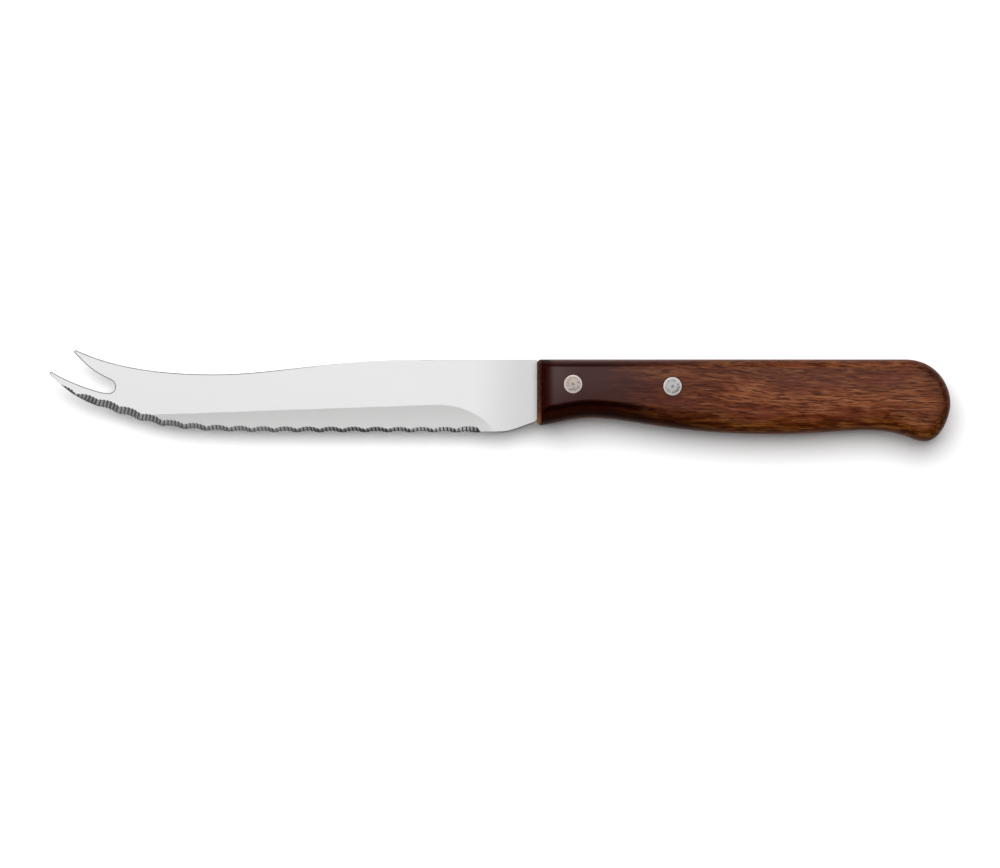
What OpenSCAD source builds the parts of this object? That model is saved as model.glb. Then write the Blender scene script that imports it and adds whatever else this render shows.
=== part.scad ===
// Cheese knife lying on its side: a forked, serrated blade whose tang sits in a saw kerf
// in a one-piece wooden handle and is held by two peened pins.
// X runs along the knife with the fork at the low end, Y runs from the cutting edge to the
// spine, and Z is the thickness. The origin is the middle of the footprint at the bottom.
// The drawing starts from the point where the spine meets the front of the handle.

/* [Blade] */
// Length of the blade in front of the handle, up to the tip of the lower prong
blade_len = 108.3; // [100:0.1:125]
// Thickness of the blade sheet
blade_t = 1.2; // [1:0.1:1.6]
// Length of the spine that stays level in front of the handle
spine_straight = 26; // [15:0.5:35]
// Distance from the handle to the lowest place of the spine
dip_at = 71.6; // [66:0.1:76]
// How far the spine falls at its lowest place
dip_drop = 3.3; // [1:0.1:5]
// How far the cutting edge lies below the spine
edge_drop = 16.2; // [15.4:0.1:17]
// Distance from the handle at which the cutting edge starts to rise
edge_straight = 50; // [44:0.5:58]
// Distance of the knee of the belly behind the tip of the lower prong
knee_back = 21.1; // [17:0.1:24]
// Depth of the knee of the belly below the spine line
knee_drop = 13.85; // [12.8:0.1:14.5]
// Slope of the edge at the knee of the belly, in degrees
knee_slope = 17.5; // [12:0.5:20]
// Depth of the blade where it meets the handle
heel_drop = 14.1; // [13:0.1:15]
// Length of the rounded heel between the handle and the cutting edge
heel_len = 8.4; // [6:0.1:10]
// Radius of the rounded corner of the heel at the handle
heel_r = 0.8; // [0.4:0.1:1.2]

/* [Fork] */
// How far the upper prong rises above the spine line
tip_rise = 2.07; // [1:0.01:3]
// How far the upper prong stops short of the lower one
tip_back = 5.4; // [4:0.1:7]
// Slope of the spine at the tip of the upper prong, in degrees
tip_slope = 22.5; // [16:0.5:26]
// Depth of the tip of the lower prong below the spine line
low_tip_drop = 2.7; // [1.5:0.1:3.5]
// Slope of the edge at the tip of the lower prong, in degrees
low_tip_slope = 43; // [36:1:46]
// Radius of the blunt end of each prong
tip_r = 0.35; // [0.2:0.05:0.5]
// Radius of the round end of the notch between the prongs
notch_r = 1.5; // [1:0.1:2]
// Distance of the centre of the notch's round end behind the tip of the lower prong
notch_back = 13.1; // [10:0.1:15]
// Depth of the centre of the round end of the notch
notch_drop = 6; // [5.5:0.1:6.5]
// Slopes of the notch's upper side at the prong tip and at the round end, in degrees
notch_up_slopes = [44, 26];
// Slopes of the notch's lower side at the prong tip and at the round end, in degrees
notch_low_slopes = [36, -5];

/* [Tang] */
// Length of the tang inside the handle
tang_len = 39; // [36:0.5:41]
// Depth of the tang's upper side below the handle's top
tang_top = 0.3; // [0.2:0.1:1]
// Depth of the tang's lower side at the front
tang_drop = 11.8; // [10.5:0.1:12.2]
// Depth of the tang's lower side at the back
tang_end_drop = 10.4; // [9.5:0.1:11]
// Distance over which the blade narrows to the tang
shoulder_len = 1.6; // [1:0.1:3]
// Radius of the two corners at the end of the tang
tang_r = 2.4; // [1:0.1:4]

/* [Grind] */
// Radius of the grinding wheel that hollows both faces of the blade
wheel_r = 80; // [60:1:120]
// Height of the hollow-ground band above the cutting edge near the heel
grind_rise = 6.15; // [4:0.05:7]
// Thickness left at the cutting edge
edge_t = 0.58; // [0.5:0.01:0.8]
// Distance from the handle at which the wheel's flank starts to lift out
grind_end = 22.5; // [17:0.1:26]
// Length over which the wheel's flank turns to its full angle
grind_soft = 8; // [2:0.1:10]
// Angle at which the wheel's flank lifts out, in degrees
grind_exit = 2.05; // [1.5:0.05:4]
// Angle between the wheel's axis and the spine, in degrees
grind_turn = 2; // [0:0.1:3]

/* [Serration] */
// Distance from the handle to the first tooth
teeth_start = 13; // [11:0.1:16]
// Distance between two teeth along the edge
tooth_pitch = 5.05; // [4:0.05:6]
// Shortest stretch of edge before the tip that the last scallop, which runs out, may have
teeth_stop = 3; // [2:0.1:8]
// Stretch of edge before the tip over which the cutting wheel lifts off
lift_len = 13.4; // [8:0.1:18]
// Slope at which the cutting wheel lifts off, in degrees
lift_slope = 6.5; // [3:0.5:10]
// Thickness left at the point of a tooth
tooth_t = 0.18; // [0.1:0.01:0.3]
// Number of fine grooves in each scallop
groove_count = 6; // [3:1:8]
// Depth of a scallop below the line of the tooth points, square to its cut face
scallop_depth = 0.3; // [0.1:0.01:0.4]
// Depth of a fine groove in a scallop
groove_depth = 0.12; // [0.04:0.01:0.16]
// Angle between the cut face and the face of the blade, in degrees
scallop_lean = 36; // [30:1:50]

/* [Handle] */
// Length of the handle
handle_len = 91.7; // [86:0.1:100]
// Thickness of the handle
handle_t = 12; // [10:0.5:16]
// Depth of the front end
lip_drop = 14.6; // [13.8:0.1:15.5]
// Slope of the underside behind the front end, in degrees
lip_slope = 8; // [4:1:12]
// Radius of the front corners seen from the side
front_r = 0.9; // [0.6:0.1:1.5]
// Distance from the front to the neck
neck_at = 11.8; // [10:0.1:14]
// Depth of the neck
neck_drop = 13; // [12.5:0.1:14]
// Distance from the front to the belly of the handle
belly_at = 53; // [48:0.5:58]
// Depth of the belly of the handle
belly_drop = 16.6; // [15:0.1:18]
// Distance from the front to the hollow under the rear end
hollow_at = 72.5; // [70:0.1:76]
// Depth of the hollow under the rear end
hollow_drop = 15.7; // [14.5:0.1:16.5]
// Distance of the beak's lowest point from the rearmost point
beak_back = 5.7; // [5:0.1:7]
// Depth of the beak
beak_drop = 18.15; // [17:0.05:19]
// Depth of the rearmost point
rear_drop = 9.9; // [8:0.1:11]
// Length of the rounded upper rear corner
rear_round = 10; // [7:0.1:13]

/* [Round-over] */
// Depth of the round-over measured through the thickness
round_depth = 3.6; // [2:0.1:4.5]
// How gently the round-over leaves the flat face: 2 is an ellipse, more is gentler
round_power = 2.6; // [2:0.1:3.5]
// Width of the round-over on the front end
round_front = 2.6; // [1:0.1:3.5]
// Width of the round-over on the top
round_top = 2.4; // [1:0.1:3.5]
// Width of the round-over under the front end
round_lip = 4.8; // [3:0.1:5.5]
// Width of the round-over at the neck
round_neck = 4.4; // [3:0.1:5]
// Width of the round-over at the belly
round_belly = 4.5; // [3:0.1:5]
// Width of the round-over at the hollow
round_hollow = 4.7; // [3:0.1:5]
// Width of the round-over at the beak
round_beak = 3.9; // [2.5:0.1:4.5]
// Width of the round-over on the rear end
round_rear = 2.1; // [1.2:0.1:3]

/* [Kerf] */
// Length of the saw kerf at half the handle's depth
kerf_len = 42; // [41:0.5:48]
// Radius of the saw disc, which shapes the end of the kerf
saw_r = 60; // [40:1:90]
// Free space between the tang and each side of the kerf
kerf_clear = 0.05; // [0.02:0.01:0.1]

/* [Rivets] */
// Distance from the front of the handle to the front rivet
front_rivet_at = 7.96; // [6:0.01:10]
// Depth of the front rivet
front_rivet_drop = 5.5; // [5:0.01:7]
// Distance from the front of the handle to the rear rivet
rear_rivet_at = 29.98; // [27:0.01:34]
// Depth of the rear rivet
rear_rivet_drop = 5.98; // [5:0.01:7]
// Diameter of a rivet's shank
shank_d = 3.4; // [2.5:0.1:3.6]
// Diameter of a rivet's peened ends
head_d = 4.1; // [3.8:0.1:5]
// Depth of the countersink that takes a peened end
head_depth = 1; // [0.6:0.1:1.6]
// Height of the straight rim at the mouth of the countersink
rim_height = 0.25; // [0.1:0.05:0.4]
// How far the rim of a peened end lies below the face of the handle
head_sink = 0.12; // [0.08:0.01:0.3]
// How far a peened end is domed above its rim
head_dome = 0.08; // [0.02:0.01:0.08]
// Diameter of the dimple that the peening tool leaves in the middle
dimple_d = 0.7; // [0.4:0.1:1.2]
// Depth of that dimple
dimple_depth = 0.12; // [0.05:0.01:0.3]
// Free space between a rivet and its hole, all round
rivet_clear = 0.05; // [0.02:0.01:0.1]

/* [Hidden] */
// Shares of a curve's span over which each of its two ends keeps its direction
spine_fall_shares = [0.46, 0.3];
spine_rise_shares = [0.62, 0.12];
belly_edge_shares = [0.37, 0.22];
point_edge_shares = [0.68, 0.32];
heel_shares = [0.4, 0.35];
notch_up_shares = [0.44, 0.52];
notch_low_shares = [0.22, 0.16];
lip_shares = [0.4, 0.34];
neck_shares = [0.22, 0.56];
belly_shares = [0.39, 0.22];
hollow_shares = [0.68, 0.21];
beak_shares = [0.38, 0.23];
rear_shares = [0.34, 0.46];
// Slope of the heel where it runs into the corner at the handle, in degrees
heel_slope = 17;
// Length by which every cutting body runs past the solid it cuts
overrun = 1;
// Width by which a scallop's cut widens on either side above the line of the tooth points
scallop_flare = 0.3;
// Share of the front corner's radius that is left on the flat face
corner_left_share = 0.35;
// Numbers of steps in the curves
fine_steps = 16;
coarse_steps = 10;
corner_steps = 4;
edge_steps = 48;
round_steps = 7;
groove_steps = 3;
wheel_facets = 360;
$fn = 96;

move_x = (blade_len - handle_len) / 2;
move_y = (beak_drop - tip_rise) / 2;
mid_z = handle_t / 2;
kerf_w = blade_t + 2 * kerf_clear;

// Direction at an angle
function ray(angle) = [cos(angle), sin(angle)];

// Control points of a curve from a to b that leaves and arrives at the given angles
function bow(a, out, b, in, shares) =
    let (span = norm(b - a))
    [a, a + span * shares[0] * ray(out), b - span * shares[1] * ray(in), b];

// Point of a cubic curve at a share t of its course
function at(p, t) =
    (1 - t) * (1 - t) * (1 - t) * p[0] + 3 * (1 - t) * (1 - t) * t * p[1]
    + 3 * (1 - t) * t * t * p[2] + t * t * t * p[3];

// Points of a cubic curve without its first one
function course(p, steps) = [for (i = [1:steps]) at(p, i / steps)];

// Points of an arc from one angle to another, both ends included
function arc(centre, r, from, to, steps) =
    [for (i = [0:steps]) centre + r * ray(from + (to - from) * i / steps)];

// Running length of a line of points
function lengths(p, i = 0, sum = 0) =
    i == len(p) - 1 ? [sum]
    : concat([sum], lengths(p, i + 1, sum + norm(p[i + 1] - p[i])));

// Point of a line of points at a running length
function along(p, run, s) =
    let (i = min(len(p) - 2, len([for (r = run) if (r <= s) r]) - 1))
    p[i] + (p[i + 1] - p[i]) * (s - run[i]) / (run[i + 1] - run[i]);

// Blade outline
up_tip = [tip_r + tip_back - blade_len, tip_rise - tip_r];
low_tip = [tip_r - blade_len, -low_tip_drop - tip_r];
dip = [-dip_at, -dip_drop];
knee = [knee_back - blade_len, -knee_drop];
heel = [-heel_len, -edge_drop];
edge_turn = [-edge_straight, -edge_drop];
notch = [notch_back - blade_len, -notch_drop];

spine_fall = bow([-spine_straight, 0], 180, dip, 180, spine_fall_shares);
spine_rise = bow(dip, 180, up_tip + tip_r * ray(90 - tip_slope), 180 - tip_slope,
                 spine_rise_shares);
notch_up = bow(up_tip - tip_r * ray(90 - notch_up_slopes[0]), -notch_up_slopes[0],
               notch + notch_r * ray(90 - notch_up_slopes[1]), -notch_up_slopes[1],
               notch_up_shares);
notch_low = bow(low_tip + tip_r * ray(90 - notch_low_slopes[0]), -notch_low_slopes[0],
                notch + notch_r * ray(-90 - notch_low_slopes[1]), -notch_low_slopes[1],
                notch_low_shares);
edge_belly = bow(edge_turn, 180, knee, 180 - knee_slope, belly_edge_shares);
edge_point = bow(knee, 180 - knee_slope, low_tip - tip_r * ray(90 - low_tip_slope),
                 180 - low_tip_slope, point_edge_shares);
heel_corner = [-heel_r, heel_r - heel_drop];
heel_curve = bow(heel_corner + heel_r * ray(-90 + heel_slope), 180 + heel_slope,
                 heel, 180, heel_shares);

module blade_shape() {
    tang_back = [tang_len - tang_r, -tang_top - tang_r];
    tang_low = [tang_len - tang_r, tang_r - tang_end_drop];
    polygon(concat(
        [[0, 0], [-spine_straight, 0]],
        course(spine_fall, coarse_steps),
        course(spine_rise, fine_steps),
        arc(up_tip, tip_r, 90 - tip_slope, 270 - notch_up_slopes[0], corner_steps),
        course(notch_up, coarse_steps),
        arc(notch, notch_r, 90 - notch_up_slopes[1], -90 - notch_low_slopes[1], coarse_steps),
        [for (i = [coarse_steps - 1:-1:0]) at(notch_low, i / coarse_steps)],
        arc(low_tip, tip_r, 90 - notch_low_slopes[0], 270 - low_tip_slope, corner_steps),
        [for (i = [fine_steps - 1:-1:0]) at(edge_point, i / fine_steps)],
        [for (i = [coarse_steps - 1:-1:0]) at(edge_belly, i / coarse_steps)],
        [for (i = [coarse_steps:-1:0]) at(heel_curve, i / coarse_steps)],
        arc(heel_corner, heel_r, -90 + heel_slope, 0, corner_steps),
        [[0, -tang_drop - shoulder_len], [shoulder_len, -tang_drop]],
        arc(tang_low, tang_r, -90, 0, corner_steps),
        arc(tang_back, tang_r, 0, 90, corner_steps),
        [[0, -tang_top]]));
}

// Hollow grind: the wheel lies on the face and is lowered until the edge has its thickness
edge_cut = (blade_t - edge_t) / 2;
wheel_out = (2 * wheel_r * edge_cut - grind_rise * grind_rise) / (2 * grind_rise);
wheel_dip = (grind_rise + wheel_out) * (grind_rise + wheel_out) / (2 * wheel_r);
wheel_y = -edge_drop - wheel_out;
wheel_far = blade_len + overrun;

module wheel() {
    // The rounded part of the flank, then its straight part up to the handle
    soft_r = grind_soft / sin(grind_exit);
    soft = arc([wheel_r - soft_r, 0], soft_r, 0, grind_exit, corner_steps);
    exit_run = grind_end;
    exit_fall = (exit_run - grind_soft) * tan(grind_exit) + soft_r * (1 - cos(grind_exit));
    translate([-grind_end, wheel_y, blade_t / 2 - wheel_dip + wheel_r])
        rotate([0, 0, grind_turn])
            rotate([0, 90, 0])
                rotate_extrude($fn = wheel_facets)
                    polygon(concat([[0, -wheel_far], [wheel_r, -wheel_far]], soft,
                                   [[wheel_r - exit_fall, exit_run], [0, exit_run]]));
}

// How deep the wheel has cut one face at a point of the edge
function cut_at(p) =
    let (off = (p[1] - wheel_y) - (p[0] + grind_end) * tan(grind_turn))
    max(0, wheel_dip - off * off / (2 * wheel_r));

// Line of the tooth points, from the first tooth to the tip of the lower prong
edge_line = concat(
    [[-teeth_start, -edge_drop]],
    [edge_turn],
    course(edge_belly, edge_steps),
    course(edge_point, edge_steps));
edge_run = lengths(edge_line);
tooth_count = floor((edge_run[len(edge_run) - 1] - teeth_stop) / tooth_pitch);

// How far the cutting wheel has lifted at a running length of the edge
function lift_at(run) =
    tan(lift_slope) * max(0, run - edge_run[len(edge_run) - 1] + lift_len);

// One scallop with its fine grooves, drawn square to the cut face; its two ends lie at their lifts
module scallop(width, near, far) {
    side = width / 2 + scallop_flare;
    top = blade_t + overrun;
    parts = groove_count * groove_steps;
    polygon(concat(
        [[-side, far + top], [-side, far + scallop_flare]],
        [for (i = [0:parts])
            let (x = 2 * i / parts - 1,
                 g = 2 * (i % groove_steps) / groove_steps - 1)
            [width * x / 2, far + (near - far) * (1 + x) / 2
                            - scallop_depth * (1 - x * x) - groove_depth * (1 - g * g)]],
        [[side, near + scallop_flare], [side, near + top]]));
}

module scallops() {
    reach = blade_t / sin(scallop_lean) + overrun;
    for (i = [0:tooth_count]) {
        a = along(edge_line, edge_run, i * tooth_pitch);
        b = along(edge_line, edge_run, (i + 1) * tooth_pitch);
        point_z = (cut_at(a) + cut_at(b)) / 2 + tooth_t - blade_t / 2;
        turn = atan2(a[1] - b[1], a[0] - b[0]);
        translate([(a[0] + b[0]) / 2, (a[1] + b[1]) / 2, point_z])
            rotate([0, 0, turn])
                rotate([90 + scallop_lean, 0, 0])
                    translate([0, 0, -reach])
                        linear_extrude(reach + overrun)
                            scallop(norm(a - b), lift_at(i * tooth_pitch),
                                    lift_at((i + 1) * tooth_pitch));
    }
}

// The sheet after the hollow grind of both faces, before the teeth are cut
module ground_sheet() {
    difference() {
        translate([0, 0, -blade_t / 2])
            linear_extrude(blade_t)
                blade_shape();
        wheel();
        mirror([0, 0, 1])
            wheel();
    }
}

module blade() {
    color("silver")
        translate([move_x, move_y, mid_z])
            difference() {
                ground_sheet();
                scallops();
                translate([front_rivet_at, -front_rivet_drop, -blade_t])
                    cylinder(h = 2 * blade_t, d = shank_d + 2 * rivet_clear);
                translate([rear_rivet_at, -rear_rivet_drop, -blade_t])
                    cylinder(h = 2 * blade_t, d = shank_d + 2 * rivet_clear);
            }
}

// Handle outline at a share u of the round-over: 0 is the widest outline, 1 the flat face
function underside(u) =
    let (r = front_r * (1 - u * (1 - corner_left_share)),
         corner = [u * round_front + r, u * round_lip - lip_drop + r],
         lip = corner + r * ray(-90 + lip_slope),
         neck = [neck_at, u * round_neck - neck_drop],
         belly = [belly_at, u * round_belly - belly_drop],
         hollow = [hollow_at, u * round_hollow - hollow_drop],
         beak = [handle_len - beak_back, u * round_beak - beak_drop],
         rear = [handle_len - u * round_rear, -rear_drop])
    concat(
        arc(corner, r, 180, 270 + lip_slope, corner_steps),
        course(bow(lip, lip_slope, neck, 0, lip_shares), corner_steps),
        course(bow(neck, 0, belly, 0, neck_shares), coarse_steps),
        course(bow(belly, 0, hollow, 0, belly_shares), coarse_steps),
        course(bow(hollow, 0, beak, 0, hollow_shares), coarse_steps),
        course(bow(beak, 0, rear, 90, beak_shares), coarse_steps));

function topside(u) =
    let (r = front_r * (1 - u * (1 - corner_left_share)),
         level = -u * round_top,
         corner = [u * round_front + r, level - r],
         turn = [handle_len - rear_round, level],
         rear = [handle_len - u * round_rear, -rear_drop],
         level_steps = corner_steps + 3 * coarse_steps)
    concat(
        arc(corner, r, 180, 90, corner_steps),
        [for (i = [1:level_steps]) [corner[0] + (turn[0] - corner[0]) * i / level_steps, level]],
        [for (i = [coarse_steps - 1:-1:0])
            at(bow(rear, 90, turn, 180, rear_shares), i / coarse_steps)]);

// Closed ring of points at one height
function ring(u, z) =
    let (low = underside(u), high = topside(u), n = len(high))
    concat([for (p = low) [p[0], p[1], z]],
           [for (i = [n - 2:-1:0]) [high[i][0], high[i][1], z]]);

module handle_body() {
    // Steps of the round-over from the widest outline to the flat face: inset share and height
    angles = [for (i = [0:round_steps]) 90 * (1 - i / round_steps)];
    shares = [for (a = angles) 1 - pow(sin(a), 2 / round_power)];
    falls = [for (a = angles) round_depth * (1 - cos(a))];
    rings = concat(
        [for (i = [round_steps:-1:0]) ring(shares[i], falls[i])],
        [for (i = [0:round_steps]) ring(shares[i], handle_t - falls[i])]);
    n = len(rings[0]);
    half = (n + 1) / 2;
    last = (len(rings) - 1) * n;
    walls = [for (k = [0:len(rings) - 2], i = [0:n - 1])
        let (a = k * n + i, b = k * n + (i + 1) % n)
        each [[a, b + n, b], [a, a + n, b + n]]];
    // The flat faces are filled between the underside and the topside, station by station
    function top_of(i) = (n - i) % n;
    bottom = [for (i = [0:half - 2])
        let (a = i, b = i + 1, c = n - 1 - i, d = n - 2 - i)
        each (d > b ? [[a, b, c], [b, d, c]] : [[a, b, c]])];
    top = [for (f = bottom) [f[0] + last, f[2] + last, f[1] + last]];
    polyhedron(points = [for (r = rings) each r], faces = concat(walls, bottom, top));
}

// Straight hole with a countersink at each end
module rivet_hole() {
    hole_d = shank_d + 2 * rivet_clear;
    sink_d = head_d + 2 * rivet_clear;
    translate([0, 0, -overrun])
        cylinder(h = handle_t + 2 * overrun, d = hole_d);
    for (side = [0, 1])
        translate([0, 0, side * handle_t])
            mirror([0, 0, side]) {
                translate([0, 0, -overrun])
                    cylinder(h = overrun + rim_height, d = sink_d);
                translate([0, 0, rim_height])
                    cylinder(h = head_depth - rim_height, d1 = sink_d, d2 = hole_d);
            }
}

module handle() {
    color("saddlebrown")
        translate([move_x, move_y, 0])
            difference() {
                handle_body();
                translate([kerf_len - saw_r, -neck_drop / 2, mid_z - kerf_w / 2])
                    cylinder(h = kerf_w, r = saw_r);
                translate([front_rivet_at, -front_rivet_drop, 0])
                    rivet_hole();
                translate([rear_rivet_at, -rear_rivet_drop, 0])
                    rivet_hole();
            }
}

// Solid pin with both ends peened into the countersinks, slightly domed and dimpled
module rivet() {
    dome_r = (head_d * head_d / 4 + head_dome * head_dome) / (2 * head_dome);
    dome_turn = asin(head_d / (2 * dome_r));
    dimple_turn = asin(dimple_d / (2 * dome_r));
    dimple_floor = head_sink - head_dome + dimple_depth;
    low = concat(
        [[0, dimple_floor], [dimple_d / 4, dimple_floor]],
        [for (i = [0:coarse_steps])
            let (a = dimple_turn + (dome_turn - dimple_turn) * i / coarse_steps)
            [dome_r * sin(a), head_sink - head_dome + dome_r * (1 - cos(a))]]);
    side = [[head_d / 2, rim_height], [shank_d / 2, head_depth]];
    half_line = concat(low, side);
    turned = [for (i = [len(half_line) - 1:-1:0]) [half_line[i][0], handle_t - half_line[i][1]]];
    rotate_extrude()
        polygon(concat(half_line, turned));
}

module rivet_front() {
    color("gainsboro")
        translate([move_x + front_rivet_at, move_y - front_rivet_drop, 0])
            rivet();
}

module rivet_rear() {
    color("gainsboro")
        translate([move_x + rear_rivet_at, move_y - rear_rivet_drop, 0])
            rivet();
}

blade();
handle();
rivet_front();
rivet_rear();
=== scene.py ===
"""Cheese knife: a forked, serrated blade in a lacquered wooden handle with two peened pins.

The blade keeps the shape of its CAD node and gets broken edges. The handle is a finer skin over
its CAD solid, made from the same named values. The pins are their CAD nodes with a new finish.
Sizes of the knife are named in millimetres, as in the part's source, and sizes of the stage in metres.
"""

from collections import namedtuple
import math

import bmesh
import bpy
import numpy as np
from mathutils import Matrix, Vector


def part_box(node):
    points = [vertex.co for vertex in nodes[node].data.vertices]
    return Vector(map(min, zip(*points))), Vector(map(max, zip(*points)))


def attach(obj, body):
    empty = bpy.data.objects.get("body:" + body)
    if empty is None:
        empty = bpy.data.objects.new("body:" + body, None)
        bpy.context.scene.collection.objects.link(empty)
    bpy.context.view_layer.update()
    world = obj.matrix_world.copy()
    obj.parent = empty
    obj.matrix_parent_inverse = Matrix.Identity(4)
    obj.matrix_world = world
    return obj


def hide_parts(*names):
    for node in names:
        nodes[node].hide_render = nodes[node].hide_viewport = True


MM = 0.001

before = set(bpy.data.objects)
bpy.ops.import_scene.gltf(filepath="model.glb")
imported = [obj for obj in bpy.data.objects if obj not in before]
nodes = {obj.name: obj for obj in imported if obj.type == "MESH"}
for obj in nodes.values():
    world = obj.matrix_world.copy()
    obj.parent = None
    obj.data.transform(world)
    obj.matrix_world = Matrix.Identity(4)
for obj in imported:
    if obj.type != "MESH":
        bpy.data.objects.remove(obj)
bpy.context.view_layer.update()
handle_low, handle_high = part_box("handle")

# The handle's shape, measured from the point where the spine meets the handle
HANDLE_LEN = 91.7
HANDLE_T = 12.0
LIP_DROP, LIP_SLOPE = 14.6, 8.0
FRONT_R, CORNER_LEFT = 0.9, 0.35
NECK = (11.8, 13.0)
BELLY = (53.0, 16.6)
HOLLOW = (72.5, 15.7)
BEAK_BACK, BEAK_DROP = 5.7, 18.15
REAR_DROP, REAR_ROUND = 9.9, 10.0
KERF_LEN, SAW_R, KERF_W = 42.0, 60.0, 1.3
HOLE_D, SINK_D, SINK_DEPTH, SINK_RIM = 3.5, 4.2, 1.0, 0.25
RIVETS = {"rivet_front": (7.96, 5.5), "rivet_rear": (29.98, 5.98)}

# The round-over: its depth, the power of its curve, and its width at each place of the outline
ROUND_DEPTH, ROUND_POWER = 3.6, 2.6
ROUND = dict(front=2.6, top=2.4, lip=4.8, neck=4.4, belly=4.5, hollow=4.7, beak=3.9, rear=2.1)

# How far each curve keeps its direction at its start and at its end, as shares of its span
LIP_PULL, NECK_PULL, BELLY_PULL = (0.4, 0.34), (0.22, 0.56), (0.39, 0.22)
HOLLOW_PULL, BEAK_PULL, TOP_PULL = (0.68, 0.21), (0.38, 0.23), (0.46, 0.34)

# Steps of each stretch, how far a hole's cutter stands out, and the angle past which an edge is sharp
CURVE_STEPS, CORNER_STEPS, ROUND_STEPS = 28, 8, 14
STRAIGHT_STEPS = 4 * CURVE_STEPS
HOLE_STEPS, KERF_STEPS = 64, 360
OVERCUT = 1.0
HANDLE_CREASE = 28

# The handle's rearmost point and its lowest one place its own frame in the row's
ORIGIN_X = handle_high.x / MM - HANDLE_LEN
ORIGIN_Y = handle_low.y / MM + BEAK_DROP

# The blade's faces are told apart by their tilt in degrees
FLAT, GROUND, CUT, RIM = range(4)
FLAT_TILT, GROUND_TILT, CUT_TILT = 0.3, 9.0, 85.0
BLADE_CREASE, SAME_PLANE = 12, 0.05

# Width and steps of the broken edges, how far before the handle they stop, and how near points are merged
EDGE_BREAK, BREAK_STEPS, HANDLE_GAP, MERGE = 0.20, 2, 0.01, 0.002

# The line of the tooth points is a polynomial, fitted between two places along the knife
EDGE_FROM, EDGE_TO, EDGE_BINS = -96.5, -5.0, 46
EDGE_DEGREE, EDGE_ROUNDS, EDGE_SLACK = 5, 4, 0.06


def part_point(x, drop):
    """A point of the handle's own frame in the row's frame, in millimetres."""
    return ORIGIN_X + x, ORIGIN_Y - drop


def ray(angle):
    return np.array([math.cos(math.radians(angle)), math.sin(math.radians(angle))])


def bow(a, out, b, into, pull):
    """Control points of a curve from a to b that leaves and arrives at the given angles."""
    a, b = np.array(a, float), np.array(b, float)
    span = np.linalg.norm(b - a)
    return a, a + span * pull[0] * ray(out), b - span * pull[1] * ray(into), b


def course(p):
    """Points of a cubic curve without its first one."""
    t = np.linspace(0, 1, CURVE_STEPS + 1)[1:, None]
    s = 1 - t
    return s ** 3 * p[0] + 3 * s ** 2 * t * p[1] + 3 * s * t * t * p[2] + t ** 3 * p[3]


def corner_arc(centre, r, start, end):
    turn = (end - start) / CORNER_STEPS
    return np.array([centre + r * ray(start + turn * i) for i in range(CORNER_STEPS + 1)])


def corner_radius(u):
    return FRONT_R * (1 - u * (1 - CORNER_LEFT))


def underside(u):
    """Lower outline from the front end to the rear one, moved in by the share u of the round-over."""
    r = corner_radius(u)
    corner = np.array([u * ROUND["front"] + r, u * ROUND["lip"] - LIP_DROP + r])
    lip = corner + r * ray(-90 + LIP_SLOPE)
    neck = (NECK[0], u * ROUND["neck"] - NECK[1])
    belly = (BELLY[0], u * ROUND["belly"] - BELLY[1])
    hollow = (HOLLOW[0], u * ROUND["hollow"] - HOLLOW[1])
    beak = (HANDLE_LEN - BEAK_BACK, u * ROUND["beak"] - BEAK_DROP)
    rear = (HANDLE_LEN - u * ROUND["rear"], -REAR_DROP)
    return np.vstack([
        corner_arc(corner, r, 180, 270 + LIP_SLOPE),
        course(bow(lip, LIP_SLOPE, neck, 0, LIP_PULL)),
        course(bow(neck, 0, belly, 0, NECK_PULL)),
        course(bow(belly, 0, hollow, 0, BELLY_PULL)),
        course(bow(hollow, 0, beak, 0, HOLLOW_PULL)),
        course(bow(beak, 0, rear, 90, BEAK_PULL))])


def topside(u):
    """Upper outline from the front end to the rear one, moved in by the share u of the round-over."""
    r = corner_radius(u)
    level = -u * ROUND["top"]
    corner = np.array([u * ROUND["front"] + r, level - r])
    start = np.array([corner[0], level])
    turn = np.array([HANDLE_LEN - REAR_ROUND, level])
    rear = (HANDLE_LEN - u * ROUND["rear"], -REAR_DROP)
    t = np.arange(1, STRAIGHT_STEPS + 1)[:, None] / STRAIGHT_STEPS
    return np.vstack([
        corner_arc(corner, r, 180, 90),
        start * (1 - t) + turn * t,
        course(bow(turn, 0, rear, -90, TOP_PULL))])


def ring(u, z):
    """The closed outline at a height, in metres."""
    loop = np.vstack([underside(u), topside(u)[-2::-1]])
    return np.column_stack([loop[:, 0] + ORIGIN_X, loop[:, 1] + ORIGIN_Y, np.full(len(loop), z)]) * MM


def new_object(name, data):
    obj = bpy.data.objects.new(name, data)
    bpy.context.scene.collection.objects.link(obj)
    return obj


def new_mesh(name, points, faces):
    mesh = bpy.data.meshes.new(name)
    mesh.from_pydata([tuple(p) for p in points], [], faces)
    mesh.validate()
    return new_object(name, mesh)


def belts(count, n):
    """Faces between neighbouring rings of n points each."""
    faces = []
    for k in range(count - 1):
        for i in range(n):
            a, b = k * n + i, k * n + (i + 1) % n
            faces.append((a, b, b + n, a + n))
    return faces


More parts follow.
